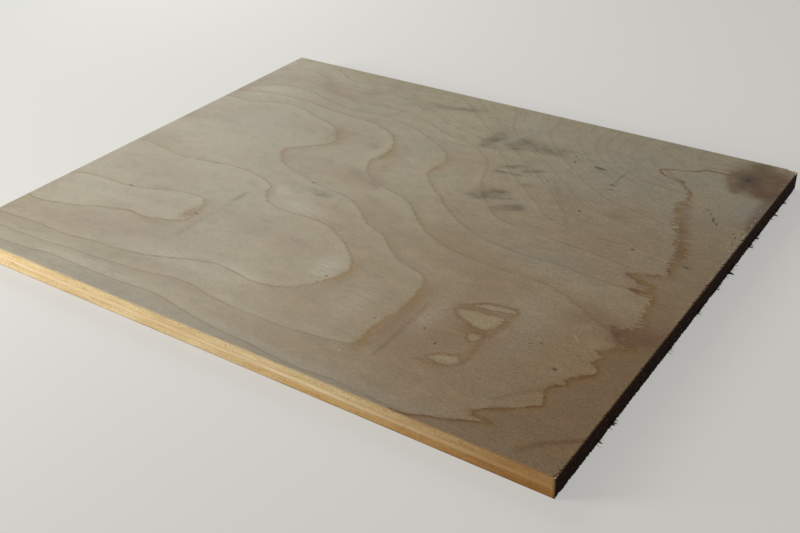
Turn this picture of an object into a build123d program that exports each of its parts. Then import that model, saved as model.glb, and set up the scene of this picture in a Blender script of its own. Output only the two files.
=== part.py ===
"""Off-cut of five-ply hardwood plywood, lying flat with its show face up. Millimetres.

Five veneers are glued face to face, each with its grain at right angles to the next. The two outer
veneers are thin and pale, with their grain along X. Three sides are sawn clean, with their outer
arrises eased by sandpaper. The fourth, at +X, is a rough cross-cut: the blade tore the outer
veneers, so their edges are ragged, and splinters of the back veneer still stand out past the cut.

The origin is the middle of the underside, +X is along the face grain and +Z points up.
"""

from build123d import *
import os

# Panel as cut
panel_length = 390.0
panel_width = 324.0

# Plies, from the underside up
back_veneer_thickness = 0.7
lower_crossband_thickness = 3.9
core_veneer_thickness = 2.8
upper_crossband_thickness = 3.9
face_veneer_thickness = 0.7

# Sandpaper took this radius off the outer arrises of the three clean sides
eased_arris = 0.25

# Tears of the outer veneers at the rough cut: spacing along it, width there and depth along the grain
face_tear_pitch = 4.2
face_tear_width = 1.3
face_tear_depth = 1.6
back_tear_pitch = 3.6
back_tear_width = 1.4
back_tear_depth = 2.2

# Between the tears the veneer's edge lies up to this far behind the cut
edge_wander = 0.45

# Stretch of the cut, measured from the front side, where the blade tore deepest
rough_start = 150.0
rough_end = 250.0
rough_factor = 1.6

# Splinters of the back veneer: place from the front side, width at the root, reach past the cut
splinters = [
    (42.0, 1.2, 1.8),
    (56.0, 0.9, 1.3),
    (160.0, 1.5, 2.4),
    (188.0, 1.2, 1.9),
    (207.0, 2.8, 2.8),
    (240.0, 1.3, 2.1),
    (252.0, 1.0, 1.5),
    (284.0, 1.6, 2.4),
    (302.0, 1.1, 1.6),
]
splinter_root_depth = 4.0
splinter_tip_share = 0.25

# Corners of the face veneer that broke away at the rough cut, along the grain and along the cut
rear_chip_along = 6.0
rear_chip_across = 4.5
front_chip_along = 1.6
front_chip_across = 3.6

# The sides that the cut runs between, and the cut itself
right = panel_length / 2
front = -panel_width / 2
rear = panel_width / 2

# Heights of the glue lines and of the show face
back_top = back_veneer_thickness
lower_top = back_top + lower_crossband_thickness
core_top = lower_top + core_veneer_thickness
upper_top = core_top + upper_crossband_thickness
panel_top = upper_top + face_veneer_thickness

# How far the solids that cut a veneer reach past it
cutter_margin = 2.0

GOLDEN_STEP = 0.6180339887


def uneven(count, low, high):
    """A value between low and high that jumps about from one count to the next, the same each time."""
    return low + (high - low) * (count * GOLDEN_STEP % 1.0)


def ply(bottom, thickness):
    """One veneer over the whole panel, with its underside at the height bottom."""
    return Pos(0, 0, bottom + thickness / 2) * Box(panel_length, panel_width, thickness)


def eased(veneer, outer_z):
    """Rounds the arrises of the three clean sides at the veneer's outer face."""
    outer = veneer.edges().filter_by(lambda e: abs(e.center().Z - outer_z) < 1e-6)
    clean = outer.filter_by(lambda e: e.center().X < right - 1e-6)
    return fillet(clean, eased_arris)


def cutter(points, bottom, thickness):
    """A solid with the given outline that runs right through one veneer."""
    outline = make_face(Polyline(*points, close=True))
    return Pos(0, 0, bottom - cutter_margin) * extrude(outline, thickness + 2 * cutter_margin)


def torn_strip(pitch, width, depth, bottom, thickness):
    """What the blade tore off a veneer: a strip past the cut, with narrow spikes along the grain."""
    ragged = [(right - uneven(0, 0, edge_wander), front - cutter_margin)]
    y = front + pitch
    count = 1
    while y < rear - pitch:
        rough = rough_factor if rough_start < y - front < rough_end else 1.0
        tear_width = width * uneven(count, 0.4, 1.3)
        tear_depth = depth * rough * uneven(count + 3, 0.25, 1.2)
        ragged += [
            (right - uneven(count, 0, edge_wander), y),
            (right - edge_wander - tear_depth, y + tear_width * uneven(count + 5, 0.2, 0.8)),
            (right - uneven(count + 1, 0, edge_wander), y + tear_width),
        ]
        y += tear_width + pitch * uneven(count + 7, 0.3, 1.1)
        count += 1
    ragged.append((right - uneven(count, 0, edge_wander), rear + cutter_margin))
    beyond = right + cutter_margin
    outer_side = [(beyond, rear + cutter_margin), (beyond, front - cutter_margin)]
    return cutter(ragged + outer_side, bottom, thickness)


def corner_chip(along, across, corner_y, bottom, thickness):
    """What broke off a veneer at one end of the cut: the break steps back as it follows the grain."""
    inward = -1 if corner_y > 0 else 1
    points = [
        (right + cutter_margin, corner_y - inward * cutter_margin),
        (right - along, corner_y - inward * cutter_margin),
        (right - along, corner_y + inward * 0.2 * across),
        (right - 0.6 * along, corner_y + inward * 0.35 * across),
        (right - 0.5 * along, corner_y + inward * 0.8 * across),
        (right, corner_y + inward * across),
        (right + cutter_margin, corner_y + inward * across),
    ]
    return cutter(points, bottom, thickness)


def splinter(place, root_width, reach):
    """A sliver of the back veneer, thick where it is still part of it and thin at its tip."""
    ends = [
        (right - splinter_root_depth, root_width, back_veneer_thickness),
        (right + reach, splinter_tip_share * root_width, splinter_tip_share * back_veneer_thickness),
    ]
    sections = []
    for x, width, thickness in ends:
        section_plane = Plane(origin=(x, front + place, thickness / 2), z_dir=(1, 0, 0), x_dir=(0, 1, 0))
        sections.append(section_plane * Rectangle(width, thickness))
    return loft(sections)


# Inner plies: the saw left them flush on all four sides
lower_crossband = ply(back_top, lower_crossband_thickness)
core_veneer = ply(lower_top, core_veneer_thickness)
upper_crossband = ply(core_top, upper_crossband_thickness)

# Face veneer: eased on the clean sides, ragged along the cut, with both corners there broken off
face_veneer = eased(ply(upper_top, face_veneer_thickness), panel_top)
face_veneer -= torn_strip(
    face_tear_pitch, face_tear_width, face_tear_depth, upper_top, face_veneer_thickness
)
face_veneer -= corner_chip(rear_chip_along, rear_chip_across, rear, upper_top, face_veneer_thickness)
face_veneer -= corner_chip(front_chip_along, front_chip_across, front, upper_top, face_veneer_thickness)

# Back veneer: eased and ragged in the same way, with splinters where its fibres held
back_veneer = eased(ply(0, back_veneer_thickness), 0)
back_veneer -= torn_strip(back_tear_pitch, back_tear_width, back_tear_depth, 0, back_veneer_thickness)
for place, root_width, reach in splinters:
    if place < panel_width - root_width:
        back_veneer += splinter(place, root_width, reach)

plies = {
    "face_veneer": face_veneer,
    "upper_crossband": upper_crossband,
    "core_veneer": core_veneer,
    "lower_crossband": lower_crossband,
    "back_veneer": back_veneer,
}

os.makedirs("parts", exist_ok=True)
for name, solid in plies.items():
    export_step(solid, f"parts/{name}.step")
    print(name, "volume", round(solid.volume), "mm3")
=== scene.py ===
import math
import random

import bpy
import numpy as np
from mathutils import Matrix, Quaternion, Vector, noise


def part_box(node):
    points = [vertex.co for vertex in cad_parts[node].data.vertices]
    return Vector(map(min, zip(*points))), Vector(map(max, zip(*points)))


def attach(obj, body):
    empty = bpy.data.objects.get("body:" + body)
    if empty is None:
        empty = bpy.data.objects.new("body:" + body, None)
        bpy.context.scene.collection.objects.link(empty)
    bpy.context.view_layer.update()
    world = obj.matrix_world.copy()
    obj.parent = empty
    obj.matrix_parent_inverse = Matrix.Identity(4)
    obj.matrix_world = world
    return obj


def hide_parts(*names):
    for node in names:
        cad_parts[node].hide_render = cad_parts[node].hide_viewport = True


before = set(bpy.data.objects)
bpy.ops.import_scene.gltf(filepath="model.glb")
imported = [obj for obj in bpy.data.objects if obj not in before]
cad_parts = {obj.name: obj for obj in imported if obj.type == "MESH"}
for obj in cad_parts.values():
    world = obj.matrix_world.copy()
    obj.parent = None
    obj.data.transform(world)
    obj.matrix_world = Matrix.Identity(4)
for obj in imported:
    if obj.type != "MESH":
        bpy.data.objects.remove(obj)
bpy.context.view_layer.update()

mm = 0.001


# Core veneer: the middle ply of the sheet, rotary-cut and pale, with its grain along X.
# It shows as a smooth light stripe on the front and rear edges and as end grain at the two ends.
# The saw left its +X end rough.

def srgb(red, green, blue):
    """A colour of the finished surface, 0 to 255 as a picture shows it, as linear light."""
    shares = [value / 255 for value in (red, green, blue)]
    linear = [s / 12.92 if s <= 0.04045 else ((s + 0.055) / 1.055) ** 2.4 for s in shares]
    return (*linear, 1.0)


def put(tree, socket, value):
    """Links a socket to another node's output, or sets it to a plain value."""
    if isinstance(value, bpy.types.NodeSocket):
        tree.links.new(value, socket)
    else:
        socket.default_value = value


def calc(tree, operation, *values):
    """A Math node."""
    node = tree.nodes.new("ShaderNodeMath")
    node.operation = operation
    for socket, value in zip(node.inputs, values):
        put(tree, socket, value)
    return node.outputs[0]


def times(tree, first, *others):
    """The product of two or more values."""
    for other in others:
        first = calc(tree, "MULTIPLY", first, other)
    return first


def plus(tree, first, second):
    """The sum of two values."""
    return calc(tree, "ADD", first, second)


def centred(tree, value):
    """Turns a value from 0 to 1 into one that swings about 0."""
    return calc(tree, "SUBTRACT", value, 0.5)


def axis(tree, coords, letter):
    """The coordinate along "X", "Y" or "Z"."""
    node = tree.nodes.new("ShaderNodeSeparateXYZ")
    tree.links.new(coords, node.inputs[0])
    return node.outputs[letter]


def blend(tree, share, first, second, kind="MIX"):
    """A Mix node for colours: share 0 gives the first, 1 the second."""
    node = tree.nodes.new("ShaderNodeMix")
    node.data_type = "RGBA"
    node.blend_type = kind
    put(tree, node.inputs[0], share)
    put(tree, node.inputs[6], first)
    put(tree, node.inputs[7], second)
    return node.outputs[2]


def tinted(tree, colour, mask, strength, tint):
    """The colour with a tint laid over it where the mask is, as strong as strength at most."""
    return blend(tree, times(tree, mask, strength), colour, tint)


def rise(tree, value, start, end, low=0.0, high=1.0):
    """A smooth step from low to high as the value goes from start to end."""
    node = tree.nodes.new("ShaderNodeMapRange")
    node.interpolation_type = "SMOOTHSTEP"
    for socket, number in zip(node.inputs, (value, start, end, low, high)):
        put(tree, socket, number)
    return node.outputs[0]


def cloud(tree, coords, size, detail=2.0, seed=0.0, roughness=0.5):
    """Noise whose lumps are about as large as size, in millimetres along X, Y and Z."""
    mapping = tree.nodes.new("ShaderNodeMapping")
    put(tree, mapping.inputs["Vector"], coords)
    mapping.inputs["Location"].default_value = (seed, 0.37 * seed, 0.61 * seed)
    mapping.inputs["Scale"].default_value = [1 / (length * mm) for length in size]
    node = tree.nodes.new("ShaderNodeTexNoise")
    tree.links.new(mapping.outputs[0], node.inputs["Vector"])
    node.inputs["Scale"].default_value = 1.0
    node.inputs["Detail"].default_value = detail
    node.inputs["Roughness"].default_value = roughness
    return node.outputs["Fac"]


wood_gloss = 0.2
shaded_cut_gloss = 0.1


def wood_material(name, roughness, gloss=wood_gloss):
    """A new wood material: its nodes, its shader and the object coordinates that it reads."""
    material = bpy.data.materials.new(name)
    material.use_nodes = True
    tree = material.node_tree
    shader = tree.nodes["Principled BSDF"]
    shader.inputs["Roughness"].default_value = roughness
    shader.inputs["Specular IOR Level"].default_value = gloss
    coords = tree.nodes.new("ShaderNodeTexCoord").outputs["Object"]
    return material, tree, shader, coords


def relief(tree, shader, height, depth, previous=None):
    """Bumps of a height from 0 to 1 with the given depth in millimetres."""
    node = tree.nodes.new("ShaderNodeBump")
    node.inputs["Distance"].default_value = depth * mm
    put(tree, node.inputs["Height"], height)
    if previous is not None:
        tree.links.new(previous, node.inputs["Normal"])
    tree.links.new(node.outputs[0], shader.inputs["Normal"])
    return node.outputs[0]


cut_shade_brown = srgb(82, 58, 40)
cut_shade_black = srgb(42, 31, 24)
cut_arris_shade = srgb(58, 42, 30)
glue_brown = srgb(128, 84, 50)
spot_brown = srgb(150, 108, 62)
inner_plies = ("upper_crossband", "core_veneer", "lower_crossband")
glue_heights = sorted({round(end[2], 5) for node in inner_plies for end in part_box(node)})

# Painted shade, multiplied into the clean edges: browner towards the rough cut, cooler at the far
# left, warm low down
edge_right_shade = srgb(202, 170, 126)
edge_left_shade = srgb(241, 238, 235)
edge_low_shade = srgb(240, 222, 196)


def glue_lines(tree, coords, colour):
    """Darkens the wood in a thin uneven line where two plies are glued together."""
    wander = centred(tree, cloud(tree, coords, (6, 6, 6), 3.0, 71.0))
    height = plus(tree, axis(tree, coords, "Z"), times(tree, wander, 0.5 * mm))
    line = 0.0
    for glue_height in glue_heights:
        gap = calc(tree, "ABSOLUTE", calc(tree, "SUBTRACT", height, glue_height))
        line = calc(tree, "MAXIMUM", line, rise(tree, gap, 0.24 * mm, 0.05 * mm))
    soaked = rise(tree, cloud(tree, coords, (14, 14, 8), 2.0, 72.0), 0.35, 0.6, 0.15, 0.6)
    return tinted(tree, colour, line, soaked, glue_brown)


def shade_near_cut(tree, coords, colour, reach):
    """Darkens the wood within about reach millimetres of the rough cut: painted shade by the dark
    cut.
    """
    ragged = centred(tree, cloud(tree, coords, (2, 1.2, 1.2), 3.0, 81.0))
    place = plus(tree, axis(tree, coords, "X"), times(tree, ragged, 2 * reach * mm))
    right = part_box("core_veneer")[1][0]
    share = rise(tree, place, right - 1.4 * reach * mm, right - 0.2 * reach * mm, 0.0, 0.85)
    return blend(tree, share, colour, cut_arris_shade)


def edge_finish(tree, coords, colour, shaded_cut):
    """Glue lines, brown spots and painted shade: the rough cut near black, clean edges darker
    right, left and low.
    """
    x, z = axis(tree, coords, "X"), axis(tree, coords, "Z")
    colour = glue_lines(tree, coords, colour)
    # Painted shade: the rough cut is multiplied brown at its top and almost black lower down
    if shaded_cut:
        top = max(glue_heights)
        deep = rise(tree, z, top - 0.2 * mm, top - 3.5 * mm)
        cut_shading = blend(tree, deep, cut_shade_brown, cut_shade_black)
        return blend(tree, 1.0, colour, cut_shading, "MULTIPLY")
    brown_spots = rise(tree, cloud(tree, coords, (3.5, 3.5, 1.2), 2.0, 77.0), 0.68, 0.74, 0.0, 0.5)
    colour = blend(tree, brown_spots, colour, spot_brown)
    # Painted shade: darker towards the rough cut, at the far left and low down
    right_shade = rise(tree, x, 0.06, 0.195, 0.0, 0.85)
    colour = blend(tree, right_shade, colour, edge_right_shade, "MULTIPLY")
    colour = blend(tree, rise(tree, x, 0.07, -0.12), colour, edge_left_shade, "MULTIPLY")
    low = times(tree, rise(tree, z, 0.0052, 0.0036), rise(tree, x, 0.0, 0.07))
    colour = blend(tree, low, colour, edge_low_shade, "MULTIPLY")
    return shade_near_cut(tree, coords, colour, 1.2)


def long_grain(name, pale, dark, along, shaded_cut=False, roughness=0.62):
    """Sawn wood seen along its grain: streaks that run the way that along says, "X" or "Y"."""
    gloss = shaded_cut_gloss if shaded_cut else wood_gloss
    material, tree, shader, coords = wood_material(name, roughness, gloss)
    long, short = (22, 0.5) if along == "X" else (0.5, 22)
    streak = cloud(tree, coords, (long, short, 0.35), 4.0, 3.1)
    fine = cloud(tree, coords, (long / 3, short / 3, 0.12), 3.0, 7.7)
    slow = cloud(tree, coords, (35, 35, 4), 2.0, 1.3)
    share = plus(tree, times(tree, streak, 0.9), times(tree, fine, 0.5))
    share = plus(tree, share, times(tree, slow, 0.5))
    colour = blend(tree, rise(tree, share, 0.7, 1.2), dark, pale)
    colour = edge_finish(tree, coords, colour, shaded_cut)
    put(tree, shader.inputs["Base Color"], colour)
    relief(tree, shader, streak, 0.12)
    return material


def end_grain(name, pale, dark, pore, shaded_cut=False, roughness=0.7):
    """Sawn wood seen across its grain, with its pores as dark specks."""
    gloss = shaded_cut_gloss if shaded_cut else wood_gloss
    material, tree, shader, coords = wood_material(name, roughness, gloss)
    speck = cloud(tree, coords, (0.55, 0.55, 0.4), 3.0, 5.0, 0.6)
    coarse = cloud(tree, coords, (1.6, 1.6, 1.0), 2.0, 9.0)
    slow = cloud(tree, coords, (18, 18, 3), 2.0, 2.0)
    share = plus(tree, times(tree, coarse, 0.6), times(tree, slow, 0.6))
    colour = blend(tree, rise(tree, share, 0.42, 0.78), dark, pale)
    pores = rise(tree, speck, 0.58, 0.72)
    colour = tinted(tree, colour, pores, 0.6, pore)
    colour = edge_finish(tree, coords, colour, shaded_cut)
    put(tree, shader.inputs["Base Color"], colour)
    relief(tree, shader, calc(tree, "SUBTRACT", 1.0, pores), 0.1)
    return material


def glued_face(name, pale, dark, along):
    """The hidden face of a ply, which shows only where a veneer is torn off it: fresh pale wood."""
    material, tree, shader, coords = wood_material(name, 0.75)
    long, short = (16, 0.7) if along == "X" else (0.7, 16)
    streak = cloud(tree, coords, (long, short, 2), 4.0, 4.4)
    put(tree, shader.inputs["Base Color"], blend(tree, rise(tree, streak, 0.3, 0.7), dark, pale))
    relief(tree, shader, streak, 0.15)
    return material


def select_faces(piece, wanted):
    """Goes to edit mode with only the faces selected whose middle is wanted."""
    bpy.ops.object.select_all(action="DESELECT")
    piece.select_set(True)
    bpy.context.view_layer.objects.active = piece
    for vertex in piece.data.vertices:
        vertex.select = False
    for edge in piece.data.edges:
        edge.select = False
    for face in piece.data.polygons:
        face.select = wanted(face.center)
    bpy.ops.object.mode_set(mode="EDIT")
    bpy.ops.mesh.select_mode(type="FACE")


def apply_place(piece):
    """Puts the piece's place, turn and size into its mesh."""
    bpy.ops.object.select_all(action="DESELECT")
    piece.select_set(True)
    bpy.context.view_layer.objects.active = piece
    bpy.ops.object.transform_apply(location=True, rotation=True, scale=True)


sawn_cell = 0.6 * mm
saw_roughness = 0.3 * mm


def saw_marks(place, seed):
    """How far the blade ploughed into the cut here: curved tooth marks, torn lumps and fuzz."""
    y, z = place[1] / mm, place[2] / mm
    arc = y + 0.02 * (z - 6) ** 2
    teeth = 0.5 + 0.5 * math.sin(2.1 * arc + 2.5 * noise.noise(Vector((0.05 * y, seed, 0))))
    lumps = 0.5 + 0.5 * noise.noise(Vector((0.45 * y, 0.9 * z, seed)))
    fuzz = 0.5 + 0.5 * noise.noise(Vector((2.3 * y, 2.3 * z, seed + 5)))
    return saw_roughness * (0.25 * teeth + 0.45 * lumps + 0.3 * fuzz)


def sawn_ply(name, node, seed, materials):
    """An inner veneer: a grid on its rough end, drawn out to the clean end.

    Its materials are for the rough end, the clean X end, the Y sides and the glued faces.
    """
    low, high = (Vector(corner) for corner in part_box(node))
    size = high - low
    middle = (low + high) / 2
    bpy.ops.object.select_all(action="DESELECT")
    bpy.ops.mesh.primitive_grid_add(
        x_subdivisions=max(4, round(size.z / sawn_cell)),
        y_subdivisions=round(size.y / sawn_cell),
        size=1,
        location=(high.x, middle.y, middle.z),
        rotation=(0, math.radians(90), 0),
    )
    piece = bpy.context.object
    piece.name = name
    piece.scale = (size.z, size.y, 1)
    apply_place(piece)
    bpy.ops.object.mode_set(mode="EDIT")
    bpy.ops.mesh.select_all(action="SELECT")
    bpy.ops.mesh.extrude_region_move(TRANSFORM_OT_translate={"value": (-size.x, 0, 0)})
    bpy.ops.mesh.select_all(action="SELECT")
    bpy.ops.mesh.normals_make_consistent(inside=False)
    bpy.ops.object.mode_set(mode="OBJECT")
    for vertex in piece.data.vertices:
        if vertex.co.x > high.x - sawn_cell:
            vertex.co.x -= saw_marks(vertex.co, seed)
    for material in materials:
        piece.data.materials.append(material)
    for face in piece.data.polygons:
        if face.center.x > high.x - 2 * sawn_cell:
            face.material_index = 0
        elif abs(face.normal.x) > 0.5:
            face.material_index = 1
        elif abs(face.normal.y) > 0.5:
            face.material_index = 2
        else:
            face.material_index = 3
    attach(piece, "root")
    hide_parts(node)
    return piece


core_pale = srgb(236, 217, 177)
core_dark = srgb(216, 184, 138)
core_pore = srgb(150, 108, 66)

# The core's rough end material carries the rough cut's painted shade
core_ply = sawn_ply("core_ply", "core_veneer", 1.0, [
    end_grain("core_rough_end", core_dark, core_pore, core_pore, True, 0.9),
    end_grain("core_end_grain", core_pale, core_dark, core_pore),
    long_grain("core_long_grain", core_pale, core_dark, "X"),
    glued_face("core_glued_face", core_pale, core_dark, "X"),
])


# Crossbands: the two thick inner plies, glued to the core with their grain along Y, across it.
# They show their amber end grain, full of pores, on the front and rear edges.
# The rough cut runs along their grain and has pulled long fibres out of them.

crossband_pale = srgb(231, 211, 166)
crossband_dark = srgb(208, 180, 130)
crossband_pore = srgb(146, 106, 62)

# The rough end material carries the rough cut's painted shade
crossband_materials = [
    long_grain("crossband_rough_end", crossband_dark, crossband_pore, "Y", True, 0.9),
    long_grain("crossband_long_grain", crossband_pale, crossband_dark, "Y"),
    end_grain("crossband_end_grain", crossband_pale, crossband_dark, crossband_pore),
    glued_face("crossband_glued_face", srgb(236, 212, 198), srgb(214, 178, 160), "Y"),
]
for node, seed in (("upper_crossband", 2.0), ("lower_crossband", 3.0)):
    ply = sawn_ply(node + "_ply", node, seed, crossband_materials)


# Back veneer: the thin outer ply of the underside, glued on with its grain along X.
# It is the same rotary-cut wood as the face, with a plainer figure of long arches.
# Its clean arrises are eased, and at the rough cut it is torn into a fringe with splinters.

torn_strip = 10 * mm
roughest_start = -12 * mm
roughest_end = 88 * mm
calm_share = 0.5
chip_start = 156 * mm
eased_arris = 0.25 * mm
touching = 1e-6
cad_sheet_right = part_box("core_veneer")[1][0]


def torn_edge(node):
    """The outline of a veneer along the rough cut, read from the solid: x for any y."""
    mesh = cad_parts[node].data
    right = cad_sheet_right
    points = {}
    for vertex in mesh.vertices:
        if vertex.co.x > right - 0.9 * torn_strip:
            key = round(vertex.co.y, 6)
            points[key] = max(points.get(key, -1), vertex.co.x)
    places = sorted(points)
    return np.array(places), np.array([points[y] for y in places])


def outer_veneer(name, node, outward, cell, cuts, fringe, seed):
    """A thin outer veneer: a grid for its outer face, walls extruded inwards, and the torn edge."""
    low, high = (Vector(corner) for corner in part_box(node))
    right = cad_sheet_right
    width = high.y - low.y
    length = right - low.x
    thickness = high.z - low.z
    outer_z = high.z if outward > 0 else low.z
    bpy.ops.object.select_all(action="DESELECT")
    bpy.ops.mesh.primitive_grid_add(
        x_subdivisions=round(length / cell),
        y_subdivisions=round(width / cell),
        size=1,
        location=((low.x + right) / 2, (low.y + high.y) / 2, outer_z),
    )
    piece = bpy.context.object
    piece.name = name
    piece.scale = (length, width, 1)
    apply_place(piece)

    # The strip beside the cut gets small faces, so that it can be torn
    select_faces(piece, lambda center: center.x > right - torn_strip)
    bpy.ops.mesh.subdivide(number_cuts=cuts)
    bpy.ops.mesh.select_all(action="DESELECT")
    bpy.ops.mesh.select_mode(type="EDGE")
    bpy.ops.mesh.select_non_manifold()
    bpy.ops.mesh.extrude_edges_move(TRANSFORM_OT_translate={"value": (0, 0, -outward * thickness)})
    bpy.ops.mesh.edge_face_add()
    bpy.ops.mesh.select_all(action="SELECT")
    bpy.ops.mesh.normals_make_consistent(inside=False)
    bpy.ops.object.mode_set(mode="OBJECT")

    # Sandpaper rounded the outer arrises of the three clean sides
    mesh = piece.data
    for edge in mesh.edges:
        ends = [mesh.vertices[index].co for index in edge.vertices]
        outer = all(abs(end.z - outer_z) < touching for end in ends)
        on_left = all(abs(end.x - low.x) < touching for end in ends)
        on_front = all(abs(end.y - low.y) < touching for end in ends)
        on_rear = all(abs(end.y - high.y) < touching for end in ends)
        edge.select = outer and (on_left or on_front or on_rear)
    for face in mesh.polygons:
        face.select = False
    for vertex in mesh.vertices:
        vertex.select = False
    bpy.ops.object.mode_set(mode="EDIT")
    bpy.ops.mesh.select_mode(type="EDGE")
    bpy.ops.mesh.bevel(offset=eased_arris, segments=3, clamp_overlap=False)
    bpy.ops.object.mode_set(mode="OBJECT")

    # The strip is drawn back or out to the torn outline, and splinters thin out past the cut
    places, reaches = torn_edge(node)
    strip_start = right - torn_strip
    for vertex in mesh.vertices:
        y = vertex.co.y
        if vertex.co.x > strip_start:
            edge_x = float(np.interp(y, places, reaches))
            kept = 0.5 + noise.noise(Vector((0.11 * y / mm, seed, 7)))
            if not roughest_start < y < roughest_end:
                kept *= calm_share
            if edge_x < right and abs(y) < chip_start:
                edge_x = right - min(1.0, kept) * (right - edge_x)
            frayed = abs(noise.noise(Vector((0.9 * y / mm, seed, 0))))
            frayed += 0.6 * abs(noise.noise(Vector((2.7 * y / mm, seed, 3))))
            edge_x -= fringe * frayed
            share = (vertex.co.x - strip_start) / torn_strip
            vertex.co.x = strip_start + share * (edge_x - strip_start)
            past = max(0.0, vertex.co.x - right)
            thinning = min(0.75, 0.25 * past / mm)
            vertex.co.z += thinning * (outer_z - vertex.co.z)
    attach(piece, "root")
    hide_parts(node)
    return piece


veneer_pale = srgb(200, 186, 156)
veneer_warm = srgb(188, 167, 138)
veneer_line = srgb(134, 104, 72)


def veneer_walls(name):
    """The thin edge of an outer veneer: pale, with the ends of its fibres."""
    return long_grain(name, veneer_pale, veneer_warm, "X")


def back_veneer_material():
    """Pale veneer with a plain figure: arches that nest along the grain."""
    material, tree, shader, coords = wood_material("back_veneer_wood", 0.6)
    x, y = axis(tree, coords, "X"), axis(tree, coords, "Y")
    drift = cloud(tree, coords, (140, 45, 40), 2.0, 4.2)
    jag = cloud(tree, coords, (14, 1.1, 10), 2.0, 6.4)
    arch = times(tree, calc(tree, "POWER", calc(tree, "ABSOLUTE", y), 1.4), 110.0)
    ring = plus(tree, arch, times(tree, x, 7.0))
    ring = plus(tree, ring, times(tree, drift, 6.0))
    ring = plus(tree, ring, times(tree, jag, 0.12))
    part = calc(tree, "FRACT", ring)
    after, before = rise(tree, part, 0.05, 0.0), rise(tree, part, 0.75, 1.0, 0.0, 0.8)
    line = calc(tree, "MAXIMUM", after, before)
    tone = cloud(tree, coords, (90, 30, 30), 2.0, 8.8)
    fleck = cloud(tree, coords, (3.0, 0.2, 1), 3.0, 2.6)
    colour = blend(tree, rise(tree, tone, 0.35, 0.65), veneer_pale, veneer_warm)
    colour = tinted(tree, colour, line, 0.5, veneer_line)
    colour = blend(tree, rise(tree, fleck, 0.55, 0.75, 0.0, 0.2), colour, veneer_line)
    put(tree, shader.inputs["Base Color"], colour)
    relief(tree, shader, fleck, 0.04)
    return material


back_sheet = outer_veneer("back_veneer_sheet", "back_veneer", outward=-1, cell=3 * mm, cuts=9,
                          fringe=0.35 * mm, seed=11.0)
back_sheet.data.materials.append(back_veneer_material())
back_sheet.data.materials.append(veneer_walls("back_veneer_edge"))
for face in back_sheet.data.polygons:
    face.material_index = 0 if face.normal.z < -0.5 else 1


# Face veneer: the thin show ply, glued on last with its grain along X, then sanded.
# The knife peeled it off the log in one sheet, so the growth rings it cut through wander over it
# as cathedral figure, with an amber, saw-toothed band where the cut ran level with a ring.

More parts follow.
